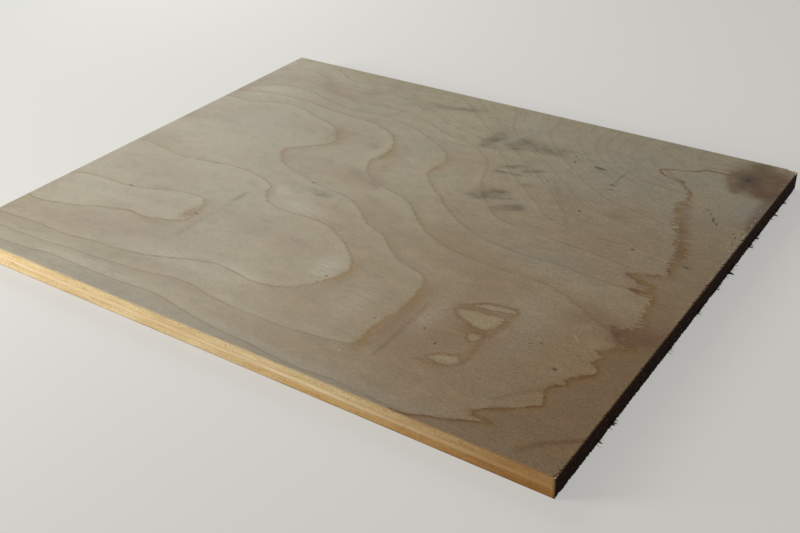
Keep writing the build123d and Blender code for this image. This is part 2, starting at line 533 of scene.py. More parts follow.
# Places are in millimetres from the front left corner. Each growth ring has its number and points
# along it, and the surface between them is a smooth sheet through all the points.
growth_rings = [
    (0, [(1, 88.4), (28.5, 93.4), (51, 94.7), (71, 102.2), (91, 105.9), (101, 103.4), (107.3, 88.4),
         (108.5, 80.9), (96, 73.4), (71, 70.9), (51, 64.7), (28.5, 55.9), (1, 53.4)]),
    (1, [(1, 147.2), (21, 145.9), (46, 142.2), (71, 145.9), (91, 148.4), (106, 146.4), (121, 140.9),
         (128.5, 128.4), (138.5, 120.9), (158.5, 118.9), (186, 117.2), (201, 108.4), (211, 100.9),
         (218.5, 93.4), (223.5, 82.2), (218.5, 70.9), (211, 59.7), (201, 52.2), (186, 48.9),
         (158.5, 52.2), (136, 45.9), (116, 38.4), (96, 34.7), (58.5, 30.9), (1, 29.7)]),
    (2, [(1, 234.7), (21, 234.7), (36, 240.9), (51, 245.4), (66, 243.4), (81, 238.4), (96, 233.4),
         (106, 228.4), (112.3, 220.9), (117.3, 210.9), (113.5, 203.4), (103.5, 193.4), (96, 184.7),
         (101, 175.9), (111, 167.2), (126, 162.2), (146, 155.9), (171, 152.2), (186, 144.7),
         (201, 132.2), (216, 125.9), (228.5, 115.9), (241, 107.2), (258.5, 102.2), (264.8, 90.9),
         (267.3, 78.4), (266, 58.4), (264.8, 40.9), (263.5, 30.9), (246, 27.2), (226, 24.7),
         (196, 24.7), (171, 27.2), (156, 29.7), (131, 25.9), (106, 23.4), (71, 20.9), (33.5, 18.4),
         (1, 18.4)]),
    (3, [(1, 248.4), (21, 253.4), (36, 255.9), (51, 256.4), (71, 254.7), (96, 251.4), (121, 249.7),
         (136, 244.7), (148.5, 235.9), (156, 223.4), (158.5, 213.4), (154.8, 200.9), (158.5, 192.2),
         (168.5, 180.9), (186, 173.4), (203.5, 168.4), (216, 158.4), (223.5, 150.9), (233.5, 143.4),
         (253.5, 133.4), (271, 129.7), (296, 128.4), (321, 127.2), (346, 115.9), (362, 108),
         (331, 8.4), (316, 2.2), (271, 3.4), (221, 4.7), (146, 12.9), (71, 11.4), (1, 9.7)]),
    (4, [(1, 257.2), (16, 267.2), (33.5, 272.9), (53.5, 271.4), (71, 265.9), (96, 260.4),
         (136, 259.7), (171, 247.2), (188.5, 235.9), (197.3, 220.9), (196, 205.9), (211, 188.4),
         (228.5, 173.4), (246, 160.9), (271, 150.9), (296, 147.9), (328.5, 147.2), (358.5, 146.4),
         (388, 147)]),
    (5, [(1, 278.4), (16, 285.4), (33.5, 287.2), (56, 283.4), (83.5, 275.2), (108.5, 276.4),
         (136, 274.7), (156, 269.7), (201, 253.4), (221, 235.9), (231, 210.9), (246, 190.9),
         (261, 177.2), (296, 172.2), (321, 169.7), (353.5, 164.7)]),
    (6, [(1, 296), (16, 302), (28.5, 304.4), (43.5, 299.7), (56, 290.9), (78.5, 288.4),
         (88.5, 288.4), (96, 293.4), (106, 297.2), (126, 293.4), (143.5, 284.7), (166, 275.2),
         (196, 266), (216, 256), (236, 235.9), (256, 218.4), (273.5, 203.4), (296, 188.4),
         (318.5, 185.4), (351, 185.9)]),
    (7, [(40, 318), (80, 306), (106, 312), (151, 318.4), (161, 312.2), (171, 303.4),
         (183.5, 290.9), (196, 280.9), (221, 266), (246, 246), (266, 228), (286, 208), (306, 199),
         (346, 202)]),
    (8, [(193.5, 320.9), (203.5, 303.4), (213.5, 284.7), (234, 268), (258.5, 250), (283.5, 228.4),
         (303.5, 213), (346, 210)]),
    (9, [(231, 313.4), (232.3, 300.9), (238.5, 288.4), (248.5, 277.2), (263, 262), (283.5, 244),
         (308.5, 228.4), (346, 220)]),
    (10, [(256, 313.4), (253.5, 300.9), (259.8, 288.4), (273.5, 274), (291, 260), (318.5, 246),
          (346, 238)]),
    (11, [(266, 317.2), (264.8, 303.4), (271, 288.4), (283.5, 275), (303.5, 262), (343.5, 251)]),
    (12, [(274, 317.2), (273, 300.9), (281, 285.9), (293.5, 273), (316, 264), (338.5, 260)]),
    (13, [(283, 318.4), (281.8, 303.4), (287.3, 288.4), (299.8, 277.2), (321, 270.4)]),
    (14, [(293.5, 317.2), (292.5, 300.9), (297.3, 288.4), (308.5, 279.7), (321, 276.7)]),
    (15, [(308.5, 315.9), (305.5, 303.4), (308, 290.9), (315, 284.2)]),
]

# Left edge of the saw-toothed band, from the knot at the far right corner down to the front edge
band_line = [
    (357, 298), (349, 298), (341, 297.5), (338, 293), (331, 290), (325, 288.5), (319, 285.5),
    (316, 283), (320, 278.5), (325, 275), (330, 273.5), (336, 273), (337.5, 269), (342.5, 265),
    (345, 259), (346, 253), (343, 247), (343, 240), (346.5, 234), (350, 226), (352.5, 220),
    (356, 213), (358, 207), (360.5, 200), (363, 194), (364, 188), (364.5, 181), (366, 174),
    (369, 168), (362, 165), (353, 162), (350, 158.5), (354, 155.5), (365, 152), (366, 150),
    (360, 148), (357, 146), (362, 144), (369, 146.5), (371, 140), (371, 134), (372, 128),
    (374, 122), (376, 117), (371, 112), (366, 108), (371, 104), (376, 100), (379, 98), (372, 94),
    (370, 91), (366, 88), (371, 84), (368, 79), (374, 73), (371, 69), (366, 64), (363.5, 60),
    (366, 57), (360, 53), (359, 48), (362, 42), (363.5, 38), (359, 34.5), (353, 29), (349, 27),
    (343, 23), (339, 18.5), (341, 15.5), (350, 15.5), (341, 12), (333, 8), (322, 4.5), (316.5, 1.5),
    (306, 0.5),
]
beyond_band = band_line + [(306, -20), (420, -20), (420, 298)]

# Pale islands where the knife came out of the ring again
islands = [
    [(297, 91.4), (302, 95.2), (310, 97.2), (318, 97.4), (319.5, 95.4), (313, 93.4), (305, 91.4)],
    [(292, 82.5), (296, 86), (306, 87.2), (316, 88.6), (317, 84.7), (316, 78.4), (313, 74.7),
     (306, 74.7), (301, 77.2), (296, 78.8)],
    [(308, 68), (311, 70.5), (314.5, 69.5), (314.5, 65.5), (311.5, 63.2), (308.5, 65)],
    [(300, 42.2), (306, 47.2), (312.5, 49.2), (317, 45.9), (313.5, 41.4), (306, 40.2)],
]

# How the band changes along it, at y: the reach of its amber, how toothed it is, and how much
# browner the wood beyond it is
band_reaches = [
    (0, 3), (60, 3.5), (100, 5), (120, 4.5), (150, 5), (172, 6), (190, 8.5), (220, 10), (243, 8),
    (256, 3), (270, 2), (300, 2),
]
band_teeth = [
    (0, 0.1), (50, 0.25), (80, 0.7), (105, 1.1), (150, 0.8), (175, 0.9), (195, 1.3), (248, 1.2),
    (262, 0.7), (278, 0.5), (286, 0.2), (300, 0.2),
]
band_browns = [
    (0, 0.55), (50, 0.6), (110, 0.75), (140, 0.4), (185, 0.35), (230, 0.25), (248, 0.1), (262, 0),
    (300, 0),
]

# Soft patches of colour: x, y, half length, half width, turn in degrees, strength
amber_patches = [
    (311, 71, 7, 3.4, 20, 1.0), (316, 57, 2.4, 10, 0, 0.7), (295, 89, 7, 2.6, 25, 0.7),
    (319, 89, 2.4, 8, 0, 0.8), (306, 37.5, 10, 2.4, 0, 0.6), (267, 36, 4, 9, 0, 1.0),
    (268, 78, 2.6, 12, 0, 0.7), (103.5, 88, 3.6, 9, 0, 1.3), (93, 69, 14, 2.2, 8, 0.5),
    (1, 196, 4, 6, 0, 0.8), (2, 87, 3, 2, 0, 0.7), (317, 214, 8, 4, 0, 0.7),
    (330, 226, 8, 3, 0, 0.4), (347, 15, 7, 2.0, 0, 0.6), (223, 80, 3, 12, 0, 0.6),
    (110, 220, 4, 13, 10, 0.7), (99, 184, 3, 8, -20, 0.5), (157, 212, 2.4, 13, 0, 0.5),
    (197, 212, 2.2, 10, 0, 0.4), (255, 130, 13, 16, 30, 0.3), (2, 252, 5, 12, 0, 0.5),
    (369, 147, 5, 3, 0, 0.8), (376, 96, 5, 3, 0, 0.8), (376, 140, 8, 8, 0, 0.3),
    (370, 9, 3, 3, 40, 0.9), (360, 48, 4, 4, 0, 0.7), (368, 64, 6, 4, 35, 0.8),
    (350, 27, 5, 2.4, 35, 0.7), (339, 17, 4, 3, 0, 0.7), (380, 12, 9, 4, 40, 0.4),
]
blush_patches = [
    (290, 214, 22, 16, -40, 0.8), (318, 222, 20, 10, 0, 0.7), (60, 284, 22, 5, -35, 0.9),
    (84, 277, 14, 4, -25, 0.7), (88, 290, 8, 5, 0, 0.7), (40, 302, 12, 7, -40, 0.8),
    (180, 89, 15, 12, 0, 0.6), (147, 94, 20, 14, 0, 0.5), (70, 50, 45, 9, 10, 0.7),
    (62, 70, 7, 6, 0, 0.6), (168, 178, 18, 11, -30, 0.9), (168, 200, 8, 16, 10, 0.6),
    (195, 150, 24, 8, -25, 0.7), (245, 165, 26, 10, -35, 0.5), (383, 106, 12, 7, 0, 1.0),
    (360, 152, 10, 6, 0, 0.7), (335, 45, 26, 24, 0, 0.7), (6, 195, 6, 10, 0, 0.7),
    (118, 222, 7, 12, 15, 0.45), (107, 178, 8, 10, -30, 0.7), (232, 205, 16, 10, -30, 0.7),
    (330, 184, 32, 22, 0, 0.8), (283, 48, 14, 10, 0, 0.7), (4, 252, 6, 12, 0, 0.9),
    (58, 72, 14, 6, 8, 0.8), (140, 297, 9, 7, 0, 0.8), (258, 268, 6, 5, 0, 0.7),
    (78, 260, 12, 10, 0, 0.5), (290, 120, 40, 12, 0, 0.4),
]
grey_patches = [
    (380, 258, 9, 13, 8, 1.0), (345, 282, 11, 12, 0, 0.9), (180, 235, 20, 12, 0, 0.3),
    (195, 4, 195, 5, 0, 0.6), (50, 210, 30, 18, 0, 0.6), (220, 290, 16, 30, 0, 0.5),
    (300, 270, 34, 36, -40, 0.7), (335, 240, 14, 12, 0, 0.5), (12, 280, 14, 14, 0, 0.5),
    (309, 150, 26, 10, 0, 0.5), (375, 8, 12, 5, 0, 0.5), (331, 80, 10, 24, 0, 0.4),
    (343, 25, 8, 12, 0, 0.3),
]
pale_patches = [
    (133, 138, 9, 6, -20, 1.0), (155, 126, 20, 7, 0, 1.1), (211, 82, 9, 17, 0, 1.0),
    (130, 44, 44, 7, 0, 0.8), (243, 60, 14, 24, 0, 0.6), (152, 214, 4, 16, 5, 0.6),
    (50, 215, 22, 14, 0, 0.5), (75, 14, 60, 6, 0, 0.6), (284, 70, 8, 18, 0, 0.9),
    (228, 212, 6, 10, 0, 0.5), (8, 288, 12, 8, 0, 0.5), (22, 306, 36, 15, 0, 0.5),
    (260, 112, 16, 14, 0, 0.4), (178, 216, 12, 12, 0, 0.5), (320, 105, 14, 16, 0, 0.4),
    (141, 248, 12, 3, -20, 0.5), (175, 50, 20, 7, 0, 0.7), (365, 284, 6, 7, 0, 0.4),
    (330, 137, 34, 7, -10, 0.35), (25, 262, 20, 5, 25, 0.5), (25, 75, 26, 10, 10, 0.4),
    (215, 305, 8, 14, 0, 0.4),
]

# Brown wood, only outside the second ring, and how dark the knot stains the wood around it
brown_patches = [
    (289, 62, 26, 36, 0, 0.6), (262, 122, 22, 22, 0, 0.3), (300, 108, 30, 12, 0, 0.15),
    (272, 66, 5, 34, 0, 0.8),
]
knot_patches = [
    (375, 302, 21, 20, 0, 1.0), (367, 287, 9, 11, 0, 0.9), (382, 287, 16, 13, 0, 1.0),
    (371, 315, 12, 13, 0, 0.8),
]
red_patches = [
    (383, 284, 8, 6, -20, 1.0), (375, 290, 7, 4, -40, 0.9), (360, 301, 3, 7, 0, 0.6),
    (386, 300, 4, 12, 0, 0.6), (368.5, 104.5, 2.6, 6, 35, 0.9), (376, 101, 6, 3, 0, 0.6),
    (380, 107, 12, 6, 0, 0.4),
]

# Dark streaks in the wood: a line of points, half width and strength
streaks = [
    ([(389, 26), (381, 20), (374, 14), (369, 7)], 1.6, 0.8),
    ([(362, 54), (356, 47), (349, 39), (344, 31)], 1.6, 0.35),
    ([(277, 80), (277.5, 60), (278.5, 30)], 1.3, 0.55),
    ([(364, 110), (369, 104.5), (371.5, 101), (373.5, 97)], 1.7, 1.3),
    ([(358, 147), (362, 145.5)], 1.6, 1.0),
    ([(349.5, 160), (352, 156.5)], 1.2, 0.9),
    ([(360.5, 54), (359.5, 48)], 1.4, 0.7),
    ([(364, 60), (368, 64), (373, 69)], 1.5, 0.9),
    ([(352, 28), (346, 25)], 1.3, 0.9),
    ([(339, 19), (341, 15.5)], 1.3, 0.8),
    ([(356.5, 303), (357.5, 292.5), (361.5, 284), (366.5, 277)], 1.8, 0.8),
    ([(319, 97), (319, 80), (316.5, 66), (318, 48), (309, 38.5), (297, 38)], 1.3, 0.45),
    ([(288, 80), (294, 89), (303, 97), (318, 99)], 1.2, 0.5),
    ([(290, 81), (302, 75), (309, 73)], 1.2, 0.45),
    ([(290, 88), (304, 89.3), (318, 91)], 0.9, 0.6),
    ([(302, 74), (309, 71.5), (316, 71)], 2.2, 0.55),
    ([(388, 280), (387.5, 262), (389, 236)], 4.0, 0.8),
    ([(350, 112), (372, 108), (388, 112)], 9.0, 0.45),
    ([(366, 101), (374, 99), (379, 101)], 3.0, 0.6),
    ([(371, 93), (379, 97)], 1.2, 0.8),
    ([(320, 285), (325, 281), (326.5, 278), (335, 275)], 1.4, 0.5),
    ([(350, 246), (355, 228), (362, 206), (368, 190)], 3.0, 0.4),
]

# Rub marks: from one end to the other, half width and strength
rub_strokes = [
    ((206, 260), (208, 276), 6.0, 0.55), ((201, 262), (206, 276), 1.4, 0.4),
    ((207, 260), (212, 275), 1.4, 0.45), ((204, 257), (214, 258), 1.6, 0.6),
    ((206, 268), (209, 270), 3.0, 0.5), ((222, 265), (227, 275), 6.0, 0.55),
    ((218, 267), (226, 279), 1.4, 0.4), ((226, 263), (232, 270), 2.0, 0.5),
    ((233, 274), (254, 275), 6.0, 0.55), ((239, 270.5), (248, 271.5), 3.0, 1.0),
    ((236, 266), (256, 270), 1.6, 0.4), ((230, 229), (247, 231), 1.4, 0.8),
    ((237, 240), (244, 243), 3.0, 0.6), ((246, 237), (255, 242), 2.0, 0.7),
    ((230, 235), (240, 240), 2.2, 0.4), ((255, 220.5), (259, 222), 1.6, 0.6),
    ((236, 196), (248, 205), 5.5, 0.45), ((232, 193), (249, 206), 1.5, 0.45),
    ((240, 194), (246, 199), 2.8, 0.6), ((241, 205), (251, 206), 2.4, 0.6),
    ((247, 196), (257, 201), 1.6, 0.6), ((257, 188), (266, 195), 4.4, 0.45),
    ((253, 186), (266, 196), 1.3, 0.45), ((257, 185), (269, 193), 1.2, 0.5),
    ((262, 193), (268, 192), 2.4, 0.6), ((147, 297), (170, 302), 3.4, 0.4),
    ((158, 299), (176, 305), 2.8, 0.4), ((155, 146.5), (162, 147.5), 3.0, 0.7),
    ((128, 148), (156, 149), 3.5, 0.25), ((116, 124), (116, 114), 1.6, 0.5),
    ((116, 119), (115.5, 66), 2.6, 0.27), ((170, 150), (174, 135), 0.9, 0.3),
    ((306, 188), (307, 206), 0.8, 0.3), ((268, 236), (300, 190), 0.8, 0.35),
    ((155, 182), (180, 172), 3.0, 0.35), ((285, 262), (286, 264), 2.4, 0.3),
    ((371, 182), (376, 181), 2.4, 0.4), ((387, 240), (387, 278), 4.0, 0.35),
]


# How far the surface may leave the rings' points, so that it stays smooth
ring_give = 2.0


def ring_surface(places):
    """The ring number at each place, on a thin-plate surface through the points of the rings."""
    points = np.array([point for _, line in growth_rings for point in line], dtype=float)
    numbers = np.array([number for number, line in growth_rings for _ in line], dtype=float)

    def plate(first, second):
        squared = ((first[:, None, :] - second[None, :, :]) ** 2).sum(axis=2)
        return 0.5 * squared * np.log(squared + 1e-9)

    count = len(points)
    plane = np.hstack([np.ones((count, 1)), points])
    system = np.zeros((count + 3, count + 3))
    system[:count, :count] = plate(points, points) + ring_give * np.eye(count)
    system[:count, count:] = plane
    system[count:, :count] = plane.T
    weights = np.linalg.solve(system, np.concatenate([numbers, np.zeros(3)]))
    at_once = 5000
    parts = []
    for start in range(0, len(places), at_once):
        some = places[start:start + at_once]
        flat_part = weights[count] + some @ weights[count + 1:]
        parts.append(plate(some, points) @ weights[:count] + flat_part)
    return np.concatenate(parts)


def line_distance(places, line, closed=False):
    """Distance in millimetres of each place from a line of points."""
    line = np.array(line + line[:1] if closed else line, dtype=float)
    nearest = np.full(len(places), 1e9)
    for start, end in zip(line[:-1], line[1:]):
        run = end - start
        offset = places - start
        share = np.clip((offset @ run) / (run @ run), 0, 1)
        gap = offset - share[:, None] * run
        nearest = np.minimum(nearest, np.hypot(gap[:, 0], gap[:, 1]))
    return nearest


def inside(places, outline):
    """Which of the places lie inside a closed outline."""
    within = np.zeros(len(places), dtype=bool)
    for (x1, y1), (x2, y2) in zip(outline, outline[1:] + outline[:1]):
        if y1 == y2:
            continue
        spans = (places[:, 1] > y1) != (places[:, 1] > y2)
        crossing = x1 + (places[:, 1] - y1) * (x2 - x1) / (y2 - y1)
        within ^= spans & (places[:, 0] < crossing)
    return within


def soft_patches(places, patches):
    """The strength at each place of patches that fade out towards their rims."""
    strongest = np.zeros(len(places))
    for x, y, half_length, half_width, turn, strength in patches:
        angle = math.radians(turn)
        offset = places - np.array([x, y])
        along = (offset[:, 0] * math.cos(angle) + offset[:, 1] * math.sin(angle)) / half_length
        across = (offset[:, 1] * math.cos(angle) - offset[:, 0] * math.sin(angle)) / half_width
        strongest = np.maximum(strongest, strength * np.exp(-(along**2 + across**2)))
    return strongest


def paint(piece, name, values):
    """Keeps one number for each vertex of the piece, for its material to read."""
    layer = piece.data.attributes.new(name, "FLOAT", "POINT")
    layer.data.foreach_set("value", values.astype(np.float32))


def painted(tree, name):
    """A number that paint() kept."""
    node = tree.nodes.new("ShaderNodeAttribute")
    node.attribute_name = name
    return node.outputs["Fac"]


# Dark specks: x, y, half length, half width, turn in degrees
specks = [
    (284.8, 265.4, 4.6, 1.3, -4), (264.8, 272.9, 0.7, 1.1, 20), (267.3, 265.9, 0.8, 1.5, 20),
    (301, 248.4, 2.6, 0.9, 0), (301, 259, 0.35, 10, -4), (302.3, 242.2, 2.6, 0.5, 0),
    (367.5, 239, 0.9, 2.8, 15), (361, 248.4, 1.8, 0.6, 0), (371, 234.5, 0.6, 2.0, 25),
    (364, 244, 0.6, 0.9, 0), (369, 236, 1.6, 0.4, -20), (360, 244, 0.5, 0.5, 0),
    (385, 225, 0.6, 1.6, 10), (387, 231, 0.5, 1.2, -15), (386, 218, 0.5, 1.3, 12),
    (383, 229, 0.4, 1.0, 0), (388, 239, 0.4, 1.6, 8), (387, 252, 0.4, 2.0, 6),
    (342.3, 183.9, 1.2, 1.2, 0), (356, 64.7, 1.4, 1.1, -20), (47.3, 94.7, 2.2, 0.8, -8),
    (107.8, 88.9, 2.4, 0.8, -5), (106, 86.5, 1.6, 0.5, 5), (142.3, 156.4, 0.9, 0.9, 0),
    (216, 73.9, 0.8, 0.8, 0), (298.5, 208.4, 1.0, 1.0, 0), (298, 52.5, 0.8, 1.0, 20),
    (374, 181, 1.6, 0.7, 0), (265, 233, 0.8, 0.8, 0), (337, 77, 1.4, 0.3, 30),
    (341, 80, 1.2, 0.3, -20), (287, 61, 0.6, 0.6, 0), (261, 55, 0.6, 0.6, 0),
    (230, 140, 0.5, 0.5, 0), (185, 188, 0.5, 0.5, 0),
]

# Pale nicks: the same five numbers
nicks = [
    (353.5, 92.5, 3.4, 0.4, -45), (215, 318, 1.2, 1.0, 0), (254, 236, 1.2, 0.5, 0),
    (384, 218, 1.6, 0.4, 4), (387, 210, 1.2, 0.3, -3), (385, 231, 1.0, 0.3, 0),
    (384, 226, 0.8, 0.5, 10), (387, 222, 0.6, 0.5, 0), (388, 243, 0.5, 1.0, 0),
    (386.5, 235, 0.5, 0.7, 0), (389, 214, 0.4, 1.4, 10), (388.5, 228, 0.5, 1.6, -12),
    (388, 250, 0.4, 1.8, 8), (389, 205, 0.4, 1.2, 0), (385, 240, 1.4, 0.3, 12),
    (387, 262, 0.5, 1.4, 6), (388.5, 196, 0.5, 0.9, 0), (388.8, 178, 0.4, 0.8, 0),
    (388.8, 132, 0.4, 0.8, 0), (270, 41, 1.2, 0.3, 30), (322, 118, 1.0, 0.3, 60),
    (284, 70, 0.6, 0.4, 20), (287, 66.5, 0.5, 0.5, 0), (283.5, 62, 0.5, 0.4, 0),
    (288, 71, 0.4, 0.4, 0), (262, 24, 1.0, 0.5, 20),
]


def spots(tree, coords, places):
    """Small sharp spots on the face, 1 inside and 0 outside."""
    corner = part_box("core_veneer")[0]
    strongest = 0.0
    for x, y, half_length, half_width, turn in places:
        mapping = tree.nodes.new("ShaderNodeMapping")
        mapping.vector_type = "TEXTURE"
        put(tree, mapping.inputs["Vector"], coords)
        mapping.inputs["Location"].default_value = (corner[0] + x * mm, corner[1] + y * mm, 0)
        mapping.inputs["Rotation"].default_value = (0, 0, math.radians(turn))
        mapping.inputs["Scale"].default_value = (half_length * mm, half_width * mm, 1)
        length = tree.nodes.new("ShaderNodeVectorMath")
        length.operation = "LENGTH"
        tree.links.new(mapping.outputs[0], length.inputs[0])
        here = rise(tree, length.outputs["Value"], 1.25, 0.5)
        strongest = calc(tree, "MAXIMUM", strongest, here)
    return strongest


def ring_lines(tree, ring, slope, count, width):
    """Lines where count times the ring number is whole, the mm past them, and how they fade."""
    steps = times(tree, ring, float(count))
    part = calc(tree, "WRAP", steps, 0.5, -0.5)
    distance = calc(tree, "DIVIDE", part, times(tree, slope, float(count)))
    line = rise(tree, calc(tree, "ABSOLUTE", distance), width, times(tree, width, 0.1))
    return line, distance, rise(tree, calc(tree, "ABSOLUTE", part), 0.5, 0.2)


face_pale = srgb(170, 164, 143)
face_warm = srgb(161, 149, 127)
near_right_shade = srgb(148, 122, 90)
far_right_shade = srgb(155, 144, 124)
ring_brown = srgb(122, 105, 80)
ring_amber = srgb(140, 110, 54)


def face_veneer_material():
    """Pale sanded veneer with growth rings, the amber band, the knot and the marks of use."""
    material, tree, shader, coords = wood_material("face_veneer_wood", 0.5)
    x, y = axis(tree, coords, "X"), axis(tree, coords, "Y")

    # Wood between the rings with soft patches, and painted light and shade: paler at the left,
    # darker and warmer to the right and front
    tone = cloud(tree, coords, (70, 28, 40), 3.0, 12.0)
    mottle = cloud(tree, coords, (9, 1.6, 10), 3.0, 13.0)
    blotch = cloud(tree, coords, (11, 7, 10), 3.0, 14.0, 0.6)
    patchy = rise(tree, mottle, 0.25, 0.6, 0.45, 1.0)
    colour = blend(tree, rise(tree, tone, 0.35, 0.65, 0.0, 0.8), face_pale, face_warm)
    # Painted shade: the right end darker and warmer, most at the front
    face_right_shade = blend(tree, rise(tree, y, -0.1, 0.09), near_right_shade, far_right_shade)
    colour = blend(tree, rise(tree, x, -0.13, 0.2, 0.0, 0.85), colour, face_right_shade)
    colour = blend(tree, rise(tree, blotch, 0.5, 0.7, 0.0, 0.26), colour, srgb(136, 130, 106))
    colour = blend(tree, rise(tree, blotch, 0.5, 0.3, 0.0, 0.26), colour, srgb(178, 154, 130))
    blush = times(tree, painted(tree, "blush"), patchy)
    colour = tinted(tree, colour, blush, 0.5, srgb(140, 114, 94))
    grey = times(tree, painted(tree, "grey"), patchy)
    colour = tinted(tree, colour, grey, 0.75, srgb(148, 146, 139))
    pale = times(tree, painted(tree, "pale"), patchy)
    colour = tinted(tree, colour, pale, 0.55, srgb(194, 190, 174))

    # Growth rings: wood is pale up to a thin dark line and fades out from it, and the grain frays
    # the line where it crosses it
    coarse_jag = cloud(tree, coords, (11, 1.5, 10), 2.0, 21.0)
    fine_jag = cloud(tree, coords, (4, 0.5, 10), 2.0, 22.0)
    coarse_jag = times(tree, centred(tree, coarse_jag), 8.0)
    jag = plus(tree, coarse_jag, times(tree, centred(tree, fine_jag), 2.5))
    slope, slope_x = painted(tree, "ring_slope"), painted(tree, "ring_slope_x")
    ring = plus(tree, painted(tree, "ring"), times(tree, jag, slope_x))
    crossing = calc(tree, "DIVIDE", calc(tree, "ABSOLUTE", slope_x), slope)
    width = plus(tree, 0.95, times(tree, crossing, 0.35))
    line, distance, fading = ring_lines(tree, ring, slope, 1, width)
    left_of_band = rise(tree, painted(tree, "band"), 1.0, -2.0)
    outer = rise(tree, ring, 2.4, 5.0, 1.0, 0.35)
    outer_line = rise(tree, ring, 3.3, 7.0, 1.0, 0.5)
    uneven = rise(tree, cloud(tree, coords, (20, 20, 10), 2.0, 23.0), 0.3, 0.6, 0.7, 1.0)
    shown = times(tree, uneven, left_of_band)
    halo_shown = times(tree, outer, shown)
    pale_shown = times(tree, halo_shown, rise(tree, x, 0.07, 0.1, 1.0, 0.35))
    line_shown = times(tree, outer_line, shown)
    near_ring = rise(tree, ring, 4.2, 5.4, 1.0, 0.15)
    amber_share = times(tree, rise(tree, crossing, 0.35, 1.0), near_ring)
    line_amber = calc(tree, "MAXIMUM", amber_share, rise(tree, ring, 1.4, 0.9, 0.0, 0.6))
    ring_colour = blend(tree, line_amber, ring_brown, ring_amber)
    past = rise(tree, distance, -0.4, 0.3)
    outside = times(tree, rise(tree, distance, 9.0, 0.2), past, fading)
    outside = times(tree, outside, plus(tree, 0.12, times(tree, amber_share, 0.26)))
    colour = tinted(tree, colour, outside, halo_shown, ring_colour)
    within = times(tree, rise(tree, distance, -12.0, -3.0), calc(tree, "SUBTRACT", 1.0, past))
    within = times(tree, within, fading, 0.17)
    colour = tinted(tree, colour, within, pale_shown, srgb(186, 181, 160))
    line = times(tree, line, plus(tree, 0.45, times(tree, line_amber, 0.3)))
    colour = tinted(tree, colour, line, line_shown, ring_colour)

    # Fainter lines between the rings
    between, _, _ = ring_lines(tree, ring, slope, 4, 0.7)
    spread = rise(tree, slope, 0.25, 0.08)
    between = times(tree, between, spread, left_of_band)
    between = times(tree, between, rise(tree, ring, 1.8, 7.0, 0.04, 0.26))
    between = times(tree, between, rise(tree, blotch, 0.35, 0.6, 0.3, 1.0))
    colour = blend(tree, between, colour, ring_brown)

    # Brown wood outside the second ring
    brown = times(tree, painted(tree, "brown"), rise(tree, ring, 1.97, 2.03))
    colour = tinted(tree, colour, brown, 0.6, srgb(130, 101, 70))
    teeth = cloud(tree, coords, (6, 1.0, 10), 2.0, 31.0, 0.6)
    long_teeth = cloud(tree, coords, (14, 1.4, 10), 2.0, 32.0, 0.6)
    ragged = rise(tree, teeth, 0.3, 0.6, 0.4, 1.0)

    # Amber band: a crisp edge on its left, toothed across the grain, and faded on its right
    strength = rise(tree, cloud(tree, coords, (14, 5, 10), 3.0, 33.0), 0.32, 0.62, 0.4, 1.05)
    band, tooth = painted(tree, "band"), painted(tree, "tooth")
    tooth_length = times(tree, tooth, 14.0)
    left = plus(tree, band, times(tree, centred(tree, teeth), tooth_length))
    right = plus(tree, band, times(tree, centred(tree, long_teeth), tooth_length))
    beyond = rise(tree, left, -0.3, 0.6)
    colour = tinted(tree, colour, beyond, painted(tree, "band_brown"), srgb(122, 98, 70))
    depth = calc(tree, "DIVIDE", right, painted(tree, "band_reach"))
    amber = times(tree, beyond, rise(tree, depth, 1.1, 0.3), strength)
    colour = tinted(tree, colour, amber, 0.75, srgb(128, 99, 50))
    rim = times(tree, rise(tree, left, -0.5, 0.1), rise(tree, left, 1.6, 0.5), strength)
    colour = tinted(tree, colour, rim, 0.75, srgb(103, 69, 36))
    streak = times(tree, painted(tree, "streak"), ragged)
    colour = tinted(tree, colour, streak, 0.8, srgb(100, 63, 40))

    # Islands: pale wood with a dark rim, and amber that fades away from it
    rim_jag = times(tree, centred(tree, teeth), 3.5)
    island = plus(tree, painted(tree, "island"), rim_jag)
    around = times(tree, rise(tree, island, -0.3, 0.3), rise(tree, island, 2.4, 0.5))
    around = times(tree, around, rise(tree, mottle, 0.3, 0.6, 0.4, 1.0))
    colour = tinted(tree, colour, around, 0.6, srgb(120, 88, 52))
    stain = times(tree, painted(tree, "amber"), ragged)
    stain = times(tree, stain, rise(tree, island, -0.1, 0.4))
    colour = tinted(tree, colour, stain, 0.65, srgb(134, 102, 48))
    isle = times(tree, rise(tree, island, 0.4, -2.4), rise(tree, blotch, 0.3, 0.6, 0.4, 0.75))
    colour = blend(tree, isle, colour, srgb(168, 156, 126))

    # Knot by the far right corner: it stains the wood around it brown and red, with a dark core
    wobble = centred(tree, cloud(tree, coords, (9, 6, 10), 4.0, 41.0))
    stained = plus(tree, painted(tree, "knot"), times(tree, wobble, 0.35))
    stained = rise(tree, stained, 0.12, 0.85)
    burl = cloud(tree, coords, (8, 3, 10), 4.0, 42.0, 0.6)
    stain_colour = blend(tree, rise(tree, burl, 0.35, 0.65), srgb(103, 82, 48), srgb(80, 54, 30))
    colour = tinted(tree, colour, stained, 0.88, stain_colour)
    red = times(tree, painted(tree, "knot_red"), rise(tree, burl, 0.3, 0.6, 0.5, 1.0))
    colour = tinted(tree, colour, red, 0.8, srgb(98, 57, 36))
    core = plus(tree, painted(tree, "knot_core"), times(tree, wobble, 0.6))
    colour = blend(tree, rise(tree, core, 5.0, 0.8, 0.0, 0.7), colour, srgb(62, 42, 25))
    colour = blend(tree, rise(tree, core, 1.1, 0.5, 0.0, 0.95), colour, srgb(36, 25, 18))

